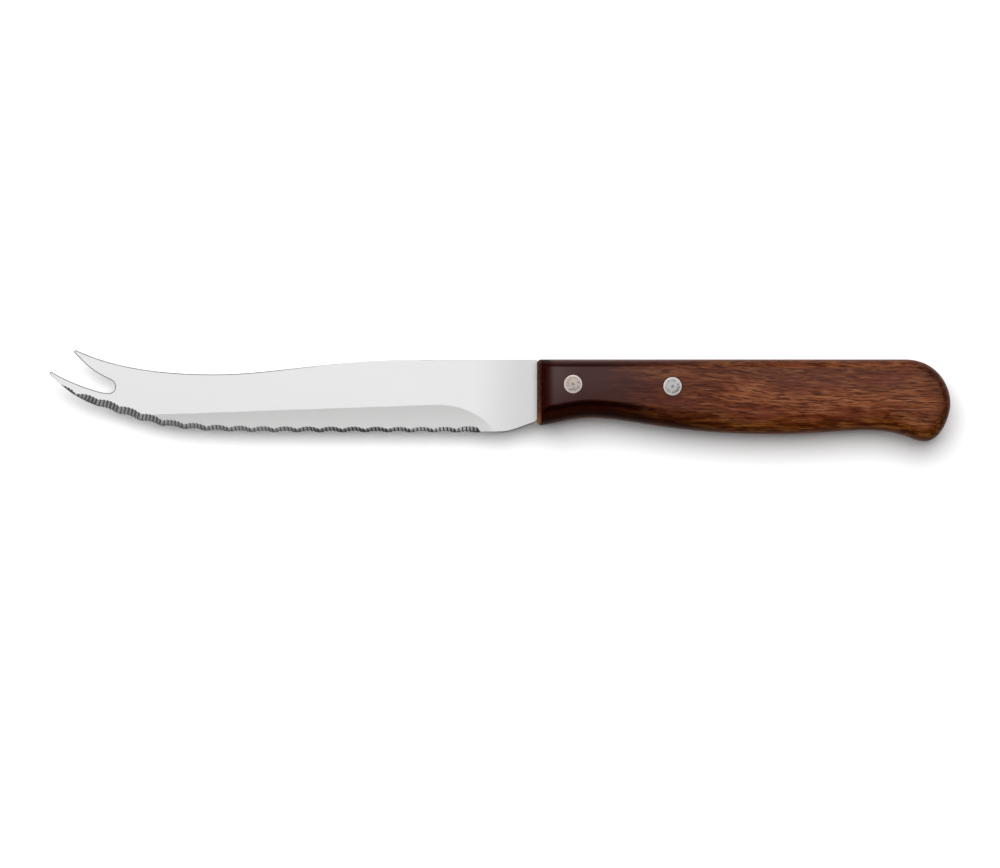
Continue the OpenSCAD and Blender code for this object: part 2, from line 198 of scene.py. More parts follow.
def handle_skin():
    """Rings of points from the lower flat face over the side to the upper flat face."""
    turns = [math.radians(90 * (1 - i / ROUND_STEPS)) for i in range(ROUND_STEPS + 1)]
    steps = [(1 - math.sin(a) ** (2 / ROUND_POWER), ROUND_DEPTH * (1 - math.cos(a))) for a in turns]
    rings = [ring(share, fall) for share, fall in reversed(steps)]
    rings += [ring(share, HANDLE_T - fall) for share, fall in steps]
    n = len(rings[0])
    faces = belts(len(rings), n)
    # Strips from the underside's points to the topside's close both flat faces
    top_ring = (len(rings) - 1) * n
    for i in range((n + 1) // 2 - 1):
        a, b, c, d = i, i + 1, n - 1 - i, n - 2 - i
        strip = (a, c, d, b) if d > b else (a, c, b)
        faces.append(strip)
        faces.append(tuple(top_ring + v for v in reversed(strip)))
    return new_mesh("handle_skin", np.vstack(rings), faces)


def turned(name, profile, centre, steps):
    """A closed round cutter, turned from (radius, height) points that run upwards."""
    points = [(centre[0] + r * math.cos(a), centre[1] + r * math.sin(a), z)
              for r, z in profile for a in np.linspace(0, 2 * math.pi, steps, endpoint=False)]
    foot = tuple(range(steps - 1, -1, -1))
    head = tuple(range(len(points) - steps, len(points)))
    faces = [foot, *belts(len(profile), steps), head]
    return new_mesh(name, np.array(points) * MM, faces)


def cut(obj, cutters):
    """Subtracts the cutters and removes them."""
    for cutter in cutters:
        modifier = obj.modifiers.new("cut", "BOOLEAN")
        modifier.operation = "DIFFERENCE"
        modifier.solver = "EXACT"
        modifier.object = cutter
    bpy.context.view_layer.update()
    made = obj.evaluated_get(bpy.context.evaluated_depsgraph_get())
    mesh = bpy.data.meshes.new_from_object(made)
    obj.modifiers.clear()
    obj.data = mesh
    for cutter in cutters:
        bpy.data.objects.remove(cutter)


def smooth_by_angle(obj, degrees):
    """Smooth shading with edges kept sharp between finishes and where faces meet at more than the angle."""
    bm = bmesh.new()
    bm.from_mesh(obj.data)
    limit = math.radians(degrees)
    for f in bm.faces:
        f.smooth = True
    for e in bm.edges:
        one_finish = len({f.material_index for f in e.link_faces}) == 1
        e.smooth = one_finish and not (e.is_manifold and e.calc_face_angle(0.0) > limit)
    bm.to_mesh(obj.data)
    bm.free()


def make_handle():
    skin = handle_skin()
    mid = HANDLE_T / 2
    disc = [(SAW_R, mid - KERF_W / 2), (SAW_R, mid + KERF_W / 2)]
    cutters = [turned("kerf", disc, part_point(KERF_LEN - SAW_R, NECK[1] / 2), KERF_STEPS)]
    hole = [(SINK_D / 2, -OVERCUT), (SINK_D / 2, SINK_RIM), (HOLE_D / 2, SINK_DEPTH),
            (HOLE_D / 2, HANDLE_T - SINK_DEPTH), (SINK_D / 2, HANDLE_T - SINK_RIM),
            (SINK_D / 2, HANDLE_T + OVERCUT)]
    for place in RIVETS.values():
        cutters.append(turned("hole", hole, part_point(*place), HOLE_STEPS))
    cut(skin, cutters)
    smooth_by_angle(skin, HANDLE_CREASE)
    return skin


def surface_kind(face):
    """The finish of one of the blade's faces."""
    tilt = math.degrees(math.acos(min(1.0, abs(face.normal.z))))
    if tilt < FLAT_TILT:
        return FLAT
    if tilt < GROUND_TILT:
        return GROUND
    if tilt < CUT_TILT and face.normal.z > 0:
        return CUT
    return RIM


def breaks(edge):
    """Whether an edge of the blade lies in front of the handle and between a broad face and the rim."""
    kinds = sorted(f.material_index for f in edge.link_faces)
    front = max(v.co.x for v in edge.verts) < (ORIGIN_X - HANDLE_GAP) * MM
    return front and kinds in ([FLAT, RIM], [GROUND, RIM])


def make_blade(materials):
    """The CAD blade with its rim's edges broken and its surfaces told apart."""
    bm = bmesh.new()
    bm.from_mesh(nodes["blade"].data)
    bmesh.ops.remove_doubles(bm, verts=bm.verts, dist=MERGE * MM)
    bmesh.ops.dissolve_limit(bm, angle_limit=math.radians(SAME_PLANE), verts=bm.verts, edges=bm.edges)
    bm.normal_update()
    for f in bm.faces:
        f.material_index = surface_kind(f)
    edges = [e for e in bm.edges if breaks(e)]
    bmesh.ops.bevel(bm, geom=edges, offset=EDGE_BREAK * MM, segments=BREAK_STEPS, profile=0.5,
                    affect="EDGES", clamp_overlap=False, material=RIM)
    bmesh.ops.remove_doubles(bm, verts=bm.verts, dist=MERGE * MM)
    bmesh.ops.dissolve_degenerate(bm, dist=MERGE * MM, edges=bm.edges)
    mesh = bpy.data.meshes.new("blade_steel")
    bm.to_mesh(mesh)
    bm.free()
    for material in materials:
        mesh.materials.append(material)
    obj = new_object("blade_steel", mesh)
    smooth_by_angle(obj, BLADE_CREASE)
    return obj


def edge_curve():
    """A polynomial y(x) in millimetres through the lowest points of the toothed edge."""
    points = np.array([tuple(v.co) for v in nodes["blade"].data.vertices]) / MM
    bins = np.linspace(EDGE_FROM, EDGE_TO, EDGE_BINS + 1)
    lowest = []
    for low, high in zip(bins[:-1], bins[1:]):
        inside = points[(points[:, 0] >= low) & (points[:, 0] < high)]
        if len(inside):
            lowest.append(inside[inside[:, 1].argmin()])
    lowest = np.array(lowest)
    # Points that lie above the curve are no tooth points and are dropped before the next fit
    for _ in range(EDGE_ROUNDS):
        fit = np.polyfit(lowest[:, 0], lowest[:, 1], EDGE_DEGREE)
        above = lowest[:, 1] - np.polyval(fit, lowest[:, 0])
        lowest = lowest[above < max(EDGE_SLACK, above.std())]
    return [float(c) for c in fit]


EDGE_CURVE = edge_curve()

# A noise pattern: its scale along each axis per metre, its shift, and how fine and how rough it is
Pattern = namedtuple("Pattern", "scale shift detail rough", defaults=((0, 0, 0), 2.0, 0.5))
NOISE_MEAN = 0.5

# A layer of colour: the span of the field that it follows, and its share at both ends of the span
Layer = namedtuple("Layer", "colour span shares")

# The relief of a surface: its depth in millimetres and its strength
Relief = namedtuple("Relief", "depth strength")

WHITE = (1, 1, 1, 1)

# Sockets of a Mix node's two colours and of the mixed one
MIX_A, MIX_B, MIXED = 6, 7, 2


def grey(level):
    return level, level, level


class Graph:
    """Short names for building the node tree of a new material or world."""

    def __init__(self, owner):
        owner.use_nodes = True
        self.owner = owner
        self.tree = owner.node_tree
        self.tree.nodes.clear()

    def feed(self, socket, value):
        """Links a socket to another one or sets it to a constant."""
        if isinstance(value, bpy.types.NodeSocket):
            self.tree.links.new(value, socket)
        else:
            socket.default_value = value

    def node(self, kind, inputs=None, **settings):
        made = self.tree.nodes.new("ShaderNode" + kind)
        for key, value in settings.items():
            setattr(made, key, value)
        for key, value in (inputs or {}).items():
            self.feed(made.inputs[key], value)
        return made

    def finish(self, shader, output="OutputMaterial"):
        self.node(output, {"Surface": shader.outputs[0]})
        return self.owner

    def math(self, operation, a, b=0.0):
        return self.node("Math", {0: a, 1: b}, operation=operation).outputs[0]

    def plus(self, a, b):
        return self.math("ADD", a, b)

    def minus(self, a, b):
        return self.math("SUBTRACT", a, b)

    def times(self, product, *factors):
        for factor in factors:
            product = self.math("MULTIPLY", product, factor)
        return product

    def larger(self, a, b):
        return self.math("MAXIMUM", a, b)

    def absolute(self, a):
        return self.math("ABSOLUTE", a)

    def ramp(self, value, span, ends=(0.0, 1.0)):
        """Goes smoothly from one end's result to the other's while the value crosses the span."""
        given = {"Value": value, "From Min": span[0], "From Max": span[1],
                 "To Min": ends[0], "To Max": ends[1]}
        return self.node("MapRange", given, interpolation_type="SMOOTHSTEP").outputs["Result"]

    def fade(self, value, span, top=1.0):
        """Falls smoothly from its top to 0 while the value crosses the span."""
        return self.ramp(value, span, (top, 0.0))

    def mix(self, share, a, b, blend="MIX"):
        made = self.node("Mix", {"Factor": share}, data_type="RGBA", blend_type=blend)
        for socket, value in ((MIX_A, a), (MIX_B, b)):
            self.feed(made.inputs[socket], (*value, 1.0) if isinstance(value, tuple) else value)
        return made.outputs[MIXED]

    def tint(self, tone, colour):
        return self.mix(1.0, tone, colour, "MULTIPLY")

    def paint(self, tone, layer, field, *limits):
        """Lays a colour over the tone where the field and the limits let it."""
        share = self.times(self.ramp(field, layer.span, layer.shares), *limits)
        return self.mix(share, tone, layer.colour)

    def coordinates(self, kind="Object"):
        return self.node("TexCoord").outputs[kind]

    def axes(self, kind="Object"):
        return self.node("SeparateXYZ", {"Vector": self.coordinates(kind)}).outputs

    def place(self):
        """x and y in millimetres, in the row's frame."""
        x, y, _ = self.axes()
        return self.times(x, 1 / MM), self.times(y, 1 / MM)

    def offset(self, point):
        """The vector in plan from a point of the row's frame, in millimetres."""
        start = (point[0] * MM, point[1] * MM, 0)
        off = self.node("VectorMath", {0: self.coordinates(), 1: start}, operation="SUBTRACT")
        flat = {"Vector": off.outputs[0], "Scale": (1 / MM, 1 / MM, 0)}
        return self.node("Mapping", flat).outputs[0]

    def length(self, vector):
        return self.node("VectorMath", {0: vector}, operation="LENGTH").outputs["Value"]

    def noise(self, pattern, vector=None):
        """Noise over the given coordinates, or else over the object's own."""
        if vector is None:
            vector = self.coordinates()
        given = {"Vector": vector, "Scale": pattern.scale, "Location": pattern.shift}
        return self.node("TexNoise", {
            "Vector": self.node("Mapping", given).outputs[0], "Scale": 1.0,
            "Detail": pattern.detail, "Roughness": pattern.rough}).outputs["Fac"]

    def bump(self, height, relief, normal=None):
        given = {"Height": height, "Distance": relief.depth * MM, "Strength": relief.strength}
        if normal is not None:
            given["Normal"] = normal
        return self.node("Bump", given).outputs[0]


def material_graph(name):
    return Graph(bpy.data.materials.new(name))


# Wood: its patterns, of which the first five follow the grain
FIGURE = Pattern((60, 380, 380), detail=4, rough=0.6)
STREAKS = Pattern((150, 1500, 1500), (3, 1, 2), 3, 0.65)
PORES = Pattern((260, 2600, 2600), (7, 5, 1), 1)
FINE_PORES = Pattern((380, 3600, 3600), (2, 8, 5), 1)
BROAD = Pattern((22, 210, 210), (1, 4, 6))
DRIFT = Pattern((28, 60, 60), detail=1.5)
PATCHES = Pattern((70, 160, 160), (4, 0, 9))
WEAR = Pattern((300, 1300, 1300))
LACQUER_WAVES = Pattern((130, 260, 260))
LACQUER_GRAIN = Pattern((900, 900, 900))

# The grain wanders across the handle and falls a little towards the rear end
GRAIN_WANDER, GRAIN_SLOPE = 3.5, 0.05

# Bare wood in linear colours
GRAIN_DARK, GRAIN_LIGHT, GRAIN_SPAN = (0.098, 0.0205, 0.0055), (0.192, 0.060, 0.0215), (0.34, 0.68)
BROAD_DARK, BROAD_LIGHT, BROAD_SPAN = (0.85, 0.87, 0.89), (1.26, 1.31, 1.35), (0.36, 0.64)
LIGHT_STREAK = Layer((0.265, 0.106, 0.047), (0.50, 0.66), (0.0, 0.43))
DARK_STREAK = Layer((0.050, 0.0085, 0.0016), (0.36, 0.52), (0.38, 0.0))
PATCH = Layer((0.078, 0.0165, 0.0120), (0.50, 0.68), (0.0, 0.45))
PORE, PORE_SHARE = (0.028, 0.0045, 0.0010), 0.82
PORE_SPAN, FINE_PORE_SPAN, FINE_PORE_SHARE = (0.385, 0.455), (0.37, 0.445), 0.85

# The stain ends at an uneven border and reaches further back near the top and the underside
STAIN, STAIN_SHARE = (0.0130, 0.0014, 0.0008), 0.97
STAIN_END, STAIN_UNEVEN = (11.0, 45.0), 22.0
STAIN_MIDDLE, STAIN_OFF, STAIN_FURTHER = 1.5, (2.5, 6.8), 4.0

# Painted shade: the steep sides and the rim of the rear end are darkened
SIDE_SHADE, SIDE_SHADE_SPAN, SIDE_SHADE_SHARE = (0.30, 0.22, 0.15), (0.15, 0.80), 0.65
END_RADIUS, END_RIM, END_SHARE = (6.2, 9.6), 6.0, 0.80

# The underside, told by the normal's y, is golden and striped, with a line of painted shade along its
# stained part
LOWER, LOWER_TINT = (-0.50, -0.12), (1.00, 0.92, 0.42)
GOLDEN_STRIPE = Layer((0.220, 0.077, 0.018), (0.50, 0.64), (0.0, 0.75))
DARK_STRIPE = Layer((0.018, 0.0050, 0.0014), (0.38, 0.50), (0.75, 0.0))
LOW_STAIN = Layer((0.0125, 0.0038, 0.0020), (-0.50, -0.25), (0.75, 0.0))
SHADE_LINE = Layer((0.0020, 0.0002, 0.0001), (0.3, 0.95), (0.0, 0.85))
LINE_START, LINE_END = (-0.30, -0.16), (-0.07, -0.03)

# Wear on the front end's sharp edge and along the sides' rim, and the dark seam round each pin
WORN_DARK, WORN_LIGHT, WORN_SPAN = (0.125, 0.040, 0.018), (0.275, 0.108, 0.056), (0.36, 0.62)
WORN_PORE, WORN_PORE_SHARE, WORN_SHARE = (0.045, 0.010, 0.003), 0.70, 0.88
EDGE_WIDTH, EDGE_HEIGHT, EDGE_SHARES = (0.4, 1.1), (-7.5, 6.5), (0.95, 0.50)
WEAR_SPAN, WEAR_SHARES = (0.38, 0.60), (0.55, 1.0)
RIM_SIDE, RIM_START, RIM_SHARES = (0.10, 0.62), (1.5, 5.0), (0.70, 0.85)
END_GRAIN = Layer((0.360, 0.130, 0.040), (-6.2, -3.0), (1.0, 0.0))
PIN_SEAM = Layer((0.018, 0.0035, 0.002), (2.10, 2.38), (0.75, 0.0))

# The lacquer: its weight at the front and behind it, then the shares that change it from place to place
LACQUER_FRONT, LACQUER_WEIGHT = (3.5, 10.0), (0.222, 0.142)
LACQUER_HEIGHT, LACQUER_HEIGHT_SHARES = (-4.0, 5.5), (0.54, 1.14)
LACQUER_REAR, LACQUER_REAR_SHARES = (9.0, 32.0), (1.0, 0.52)
LACQUER_LOW, LACQUER_AT_EDGE, LACQUER_TILTED, LACQUER_AT_SIDE = 0.45, 0.05, 0.08, 0.10
FACE_START, FACE_LEVEL = (1.8, 4.6), (-0.10, -0.01)
SIDE_BARE, SIDE_STAINED, FACE_UPRIGHT = 0.15, 0.50, 0.92
POLISH_SIDE, POLISH = (0.45, 0.85), 0.30
STREAK_MIDDLE, WOOD_ROUGH = (0.3, 0.7), (0.42, 0.55)
WOOD_SPECULAR, STAIN_TINT = (0.04, 0.15), (1.0, 0.22, 0.18, 1.0)
LACQUER_ROUGH, LACQUER_IOR = 0.07, 1.9
PORE_RELIEF, WAVE_RELIEF, GRAIN_RELIEF = Relief(0.03, 0.5), Relief(0.03, 0.35), Relief(0.004, 0.3)

# The whole span of a share
WHOLE = (0.0, 1.0)


class Wood(Graph):
    """Reddish brown wood with short dark pores under lacquer, stained darker at the front."""

    def __init__(self):
        super().__init__(bpy.data.materials.new("lacquered_wood"))
        x, self.y = self.place()
        self.behind = self.minus(x, ORIGIN_X)
        normal = self.axes("Normal")
        self.facing = normal[1]
        self.upright = self.absolute(normal[2])
        self.lower = self.fade(self.facing, LOWER)
        self.grain = self.grain_place()
        self.figure = self.noise(FIGURE, self.grain)
        self.streak = self.noise(STREAKS, self.grain)
        self.pore_field = self.noise(PORES, self.grain)
        fine = self.fade(self.noise(FINE_PORES, self.grain), FINE_PORE_SPAN, FINE_PORE_SHARE)
        self.pores = self.larger(self.fade(self.pore_field, PORE_SPAN), fine)
        self.stain = self.stain_share()

    def grain_place(self):
        """Coordinates that follow the grain."""
        x, y, z = self.axes()
        wander = self.times(self.minus(self.noise(DRIFT), NOISE_MEAN), GRAIN_WANDER * MM)
        slope = self.times(self.minus(x, ORIGIN_X * MM), GRAIN_SLOPE)
        across = self.plus(self.plus(y, wander), slope)
        return self.node("CombineXYZ", {0: x, 1: across, 2: z}).outputs[0]

    def stain_share(self):
        uneven = self.times(self.minus(self.figure, NOISE_MEAN), STAIN_UNEVEN)
        off_middle = self.absolute(self.minus(self.y, STAIN_MIDDLE))
        further = self.ramp(off_middle, STAIN_OFF, (0.0, STAIN_FURTHER))
        return self.fade(self.minus(self.plus(self.behind, uneven), further), STAIN_END)

    def bare_tone(self):
        tone = self.mix(self.ramp(self.figure, GRAIN_SPAN), GRAIN_DARK, GRAIN_LIGHT)
        tone = self.paint(tone, LIGHT_STREAK, self.streak)
        tone = self.paint(tone, DARK_STREAK, self.streak)
        tone = self.mix(self.times(self.pores, PORE_SHARE), tone, PORE)
        tone = self.paint(tone, PATCH, self.noise(PATCHES))
        broad = self.ramp(self.noise(BROAD, self.grain), BROAD_SPAN)
        return self.tint(tone, self.mix(broad, BROAD_DARK, BROAD_LIGHT))

    def painted_side_shade(self, tone):
        # Painted shade on the steep sides and round the rear end's rim
        from_end = self.length(self.offset(part_point(HANDLE_LEN - REAR_ROUND, REAR_DROP)))
        at_end = self.ramp(self.behind, (HANDLE_LEN - REAR_ROUND, HANDLE_LEN - END_RIM), (0.0, END_SHARE))
        end = self.times(self.ramp(from_end, END_RADIUS), at_end)
        share = self.larger(end, self.fade(self.upright, SIDE_SHADE_SPAN, SIDE_SHADE_SHARE))
        return self.mix(share, tone, self.tint(tone, SIDE_SHADE))

    def lower_tone(self, tone):
        tone = self.mix(self.lower, tone, self.tint(tone, LOWER_TINT))
        unstained = self.times(self.lower, self.minus(1.0, self.stain))
        tone = self.paint(tone, GOLDEN_STRIPE, self.streak, unstained)
        tone = self.paint(tone, DARK_STRIPE, self.streak, unstained)
        tone = self.paint(tone, LOW_STAIN, self.facing, self.stain)
        # Painted shade along the band where the stained face turns down
        line = self.times(self.ramp(self.facing, LINE_START), self.fade(self.facing, LINE_END))
        return self.paint(tone, SHADE_LINE, self.stain, line)

    def worn(self, tone):
        edge = self.times(self.fade(self.behind, EDGE_WIDTH), self.ramp(self.y, EDGE_HEIGHT, EDGE_SHARES),
                          self.ramp(self.noise(WEAR), WEAR_SPAN, WEAR_SHARES))
        rim = self.times(self.fade(self.upright, RIM_SIDE), self.ramp(self.lower, WHOLE, RIM_SHARES),
                         self.ramp(self.behind, RIM_START))
        bare = self.mix(self.ramp(self.streak, WORN_SPAN), WORN_DARK, WORN_LIGHT)
        bare = self.mix(self.times(self.pores, WORN_PORE_SHARE), bare, WORN_PORE)
        tone = self.mix(self.times(self.larger(edge, rim), WORN_SHARE), tone, bare)
        return self.paint(tone, END_GRAIN, self.y, edge)

    def tone(self):
        tone = self.mix(self.times(self.stain, STAIN_SHARE), self.bare_tone(), STAIN)
        tone = self.worn(self.lower_tone(self.painted_side_shade(tone)))
        for place in RIVETS.values():
            tone = self.paint(tone, PIN_SEAM, self.length(self.offset(part_point(*place))))
        return tone

    def roughness(self):
        polish = self.times(self.stain, self.ramp(self.upright, POLISH_SIDE))
        return self.times(self.ramp(self.streak, STREAK_MIDDLE, WOOD_ROUGH),
                          self.ramp(polish, WHOLE, (1.0, POLISH)))

    def material(self):
        on_face = self.ramp(self.behind, FACE_START)
        level = self.ramp(self.facing, FACE_LEVEL)
        side = self.ramp(self.stain, WHOLE, (SIDE_BARE, SIDE_STAINED))
        weight = self.times(
            self.ramp(self.behind, LACQUER_FRONT, LACQUER_WEIGHT),
            self.ramp(self.y, LACQUER_HEIGHT, LACQUER_HEIGHT_SHARES),
            self.ramp(self.lower, WHOLE, (1.0, LACQUER_LOW)),
            self.ramp(self.behind, LACQUER_REAR, LACQUER_REAR_SHARES),
            self.ramp(on_face, WHOLE, (LACQUER_AT_EDGE, 1.0)),
            self.ramp(level, WHOLE, (LACQUER_TILTED, 1.0)),
            self.ramp(self.upright, (side, FACE_UPRIGHT), (LACQUER_AT_SIDE, 1.0)))
        sheen = self.times(self.stain, on_face, level)
        grain_bump = self.bump(self.noise(LACQUER_GRAIN), GRAIN_RELIEF)
        return self.finish(self.node("BsdfPrincipled", {
            "Base Color": self.tone(), "Roughness": self.roughness(),
            "Normal": self.bump(self.pore_field, PORE_RELIEF),
            "Specular IOR Level": self.ramp(sheen, WHOLE, WOOD_SPECULAR), "Specular Tint": STAIN_TINT,
            "Coat Weight": weight, "Coat Roughness": LACQUER_ROUGH, "Coat IOR": LACQUER_IOR,
            "Coat Normal": self.bump(self.noise(LACQUER_WAVES), WAVE_RELIEF, grain_bump)}))


# Steel: patterns, and places along the knife in the row's frame
FLAT_LINES = Pattern((260, 5200, 5200), detail=3, rough=0.65)
GROUND_LINES = Pattern((5200, 260, 260), detail=3, rough=0.65)
COMB_GRIT = Pattern((6000, 500, 500), detail=3, rough=0.65)
RIM_GRIT = Pattern((900, 900, 5200), detail=3, rough=0.65)
CLOUDS = Pattern((35, 60, 60))
LINE_DARKER, CLOUD_DARKER, CLOUD_SHARE = 0.985, 0.98, 0.5
NOISE_MIDDLE, NOISE_WIDE = (0.3, 0.7), (0.25, 0.75)
LINE_RELIEF, COMB_RELIEF, RIM_RELIEF = Relief(0.003, 0.4), Relief(0.005, 0.4), Relief(0.004, 0.4)
FLAT_LOOK = dict(colour=grey(0.905), rough=(0.44, 0.47), lines=FLAT_LINES, handle_shade=0.84)
GROUND_LOOK = dict(colour=(0.872, 0.868, 0.863), rough=(0.50, 0.53), lines=GROUND_LINES, metal=0.96)
# Painted shade next to the handle darkens the flat steel by its factor over this span along the knife
HANDLE_SHADE_SPAN = (-7.0, 5.5)

# Painted shade: the tooth points between the scallops are darkened up to a height over the edge
TEETH_START, TEETH_END = (-92.5, -91.5), (-5.5, -4.5)
TOOTH_POINT_SHADE = Layer(grey(0.10), (0.35, 0.95), (0.9, 0.0))

# Painted light and shade on the scallops' small grooves: one flank pale and the other dark by the way it
# faces, less pale near the tooth points, and changing in tone from the tip to the heel
FLANK, PALE_HEIGHT, PALE_LOW = (-0.32, 0.12), (0.15, 0.8), 0.30
HEEL_SIDE, HEEL_PALE = (-60.0, -32.0), 0.72
SHADED_FLANK_TIP, SHADED_FLANK_HEEL = grey(0.17), grey(0.05)
PALE_TIP, PALE_HEEL, PALE_SIDE = grey(0.47), grey(1.0), (-30.0, -14.0)
PALE_METAL, COMB_ROUGH = 0.45, (0.25, 0.40)

# The rim's colour is painted: painted shade, darkest at the heel, and a painted highlight along the
# straight spine and at the lower prong's tip
RIM_SHADE_TONE, SPINE_HIGHLIGHT, TIP_HIGHLIGHT, HEEL_SHADE_TONE = (0.34, 0.34, 0.35), grey(0.78), grey(0.80), grey(0.07)
LOWER_HALF, SPINE_START = (-1.0, 1.0), (-55.0, -30.0)
HEEL_START, HEEL_END = (-1.5, 0.5), (7.6, 8.4)
TIP_END, TIP_HEIGHT, TIP_SLOPE, TIP_LINE, TIP_BACK = -100.0, 5.0, 0.75, (-0.2, 0.1), (-96.5, -95.5)
RIM_METAL, RIM_ROUGH = 0.35, (0.40, 0.50)


def edge_height(g, x, y):
    """Height over the line of the tooth points, in millimetres."""
    level = EDGE_CURVE[0]
    for c in EDGE_CURVE[1:]:
        level = g.plus(g.times(level, x), c)
    return g.minus(y, level)


def steel(name, colour, rough, lines, handle_shade=1.0, metal=1.0):
    """Satin steel with fine lines, and painted shade next to the handle that darkens it by the given
    factor.
    """
    g = material_graph(name)
    x, y = g.place()
    scratch = g.noise(lines)
    clouds = g.ramp(g.noise(CLOUDS), NOISE_MIDDLE, (0.0, CLOUD_SHARE))
    shade = g.mix(g.ramp(scratch, NOISE_MIDDLE), tuple(c * LINE_DARKER for c in colour), colour)
    shade = g.mix(clouds, shade, tuple(c * CLOUD_DARKER for c in colour))
    # Painted shade next to the handle
    shade = g.mix(g.ramp(x, HANDLE_SHADE_SPAN), shade, g.tint(shade, grey(handle_shade)))
    toothed = g.times(g.ramp(x, TEETH_START), g.fade(x, TEETH_END))
    # Painted shade at the tooth points
    shade = g.paint(shade, TOOTH_POINT_SHADE, edge_height(g, x, y), toothed)
    return g.finish(g.node("BsdfPrincipled", {
        "Base Color": shade, "Metallic": metal, "Roughness": g.ramp(scratch, NOISE_WIDE, rough),
        "Normal": g.bump(scratch, LINE_RELIEF)}))


def steel_comb(name):
    """The scallops' small grooves: one flank of each is painted light and the other painted shade, by the
    way each flank faces.
    """
    g = material_graph(name)
    x, y = g.place()
    heel = g.ramp(x, HEEL_SIDE)
    # Share of painted light: the flank that leans towards the heel, less of it near the tooth points
    pale = g.times(
        g.ramp(g.axes("Normal")[0], FLANK),
        g.ramp(edge_height(g, x, y), PALE_HEIGHT, (PALE_LOW, 1.0)),
        g.ramp(heel, WHOLE, (1.0, HEEL_PALE)))
    shaded_flank = g.mix(heel, SHADED_FLANK_TIP, SHADED_FLANK_HEEL)
    light = g.mix(g.ramp(x, PALE_SIDE), PALE_TIP, PALE_HEEL)
    grit = g.noise(COMB_GRIT)
    return g.finish(g.node("BsdfPrincipled", {
        "Base Color": g.mix(pale, shaded_flank, light), "Metallic": g.ramp(pale, WHOLE, (1.0, PALE_METAL)),
        "Roughness": g.ramp(grit, NOISE_WIDE, COMB_ROUGH), "Normal": g.bump(grit, COMB_RELIEF)}))


def steel_rim(name):
    """The narrow side face and its broken edges, with painted shade and painted highlights."""
    g = material_graph(name)
    x, y = g.place()
    below = g.fade(y, LOWER_HALF)
    spine = g.times(g.minus(1.0, below), g.ramp(x, SPINE_START))
    heel = g.times(below, g.ramp(x, HEEL_START), g.fade(x, HEEL_END))
    over_tip = g.plus(g.minus(y, TIP_HEIGHT), g.times(g.minus(x, TIP_END), TIP_SLOPE))
    tip = g.times(g.fade(over_tip, TIP_LINE), g.fade(x, TIP_BACK))
    # Painted shade on the rim, with painted highlights on the spine and the tip and darker painted shade at
    # the heel
    shade = g.mix(spine, RIM_SHADE_TONE, SPINE_HIGHLIGHT)
    shade = g.mix(tip, shade, TIP_HIGHLIGHT)
    shade = g.mix(heel, shade, HEEL_SHADE_TONE)
    grit = g.noise(RIM_GRIT)
    return g.finish(g.node("BsdfPrincipled", {
        "Base Color": shade, "Metallic": g.ramp(g.larger(spine, tip), WHOLE, (1.0, RIM_METAL)),
        "Roughness": g.ramp(grit, NOISE_WIDE, RIM_ROUGH), "Normal": g.bump(grit, RIM_RELIEF)}))


# The pins' ends: each mark's place as a distance from the middle, and its share
MOTTLE_SCALE, SPOT_SCALE, CHIP_SCALE = (1500,) * 3, (2100,) * 3, (2600,) * 3
MOTTLE_SPAN, MOTTLE_DARKER, MOTTLE_RADIUS = (0.35, 0.65), 0.70, 0.5
SPOT_SPAN, SPOT_SHARE, CHIP_SPAN, CHIP_SHARE = (0.60, 0.70), 0.75, (0.50, 0.60), 0.8
PIN_RIM, PIN_RIM_SHARE, PIN_GAP = (1.78, 2.10), 0.8, (1.96, 2.06)
CHIP_RING, CHIP_RING_WIDTH = 1.30, (0.12, 0.50)
CRESCENT, CRESCENT_SHARE = (0.7, 1.3), 0.7
DIMPLE, DIMPLE_SHARE = (0.35, 0.75), 0.28
GAP_TONE = (0.10, 0.07, 0.06)
PIN_METAL, PIN_ROUGH, PIN_RELIEF = 0.85, (0.38, 0.6), Relief(0.06, 0.6)
PIN_LOOKS = {
    "rivet_front": dict(face=(0.66, 0.575, 0.52), rim=(0.75, 0.645, 0.59), speck=(0.20, 0.16, 0.15),
                        seed=2.0, shade_side=(0, 0)),
    "rivet_rear": dict(face=(0.64, 0.63, 0.63), rim=(0.75, 0.69, 0.66), speck=(0.19, 0.18, 0.19),
                       seed=6.0, shade_side=(0.75, -0.66)),
}


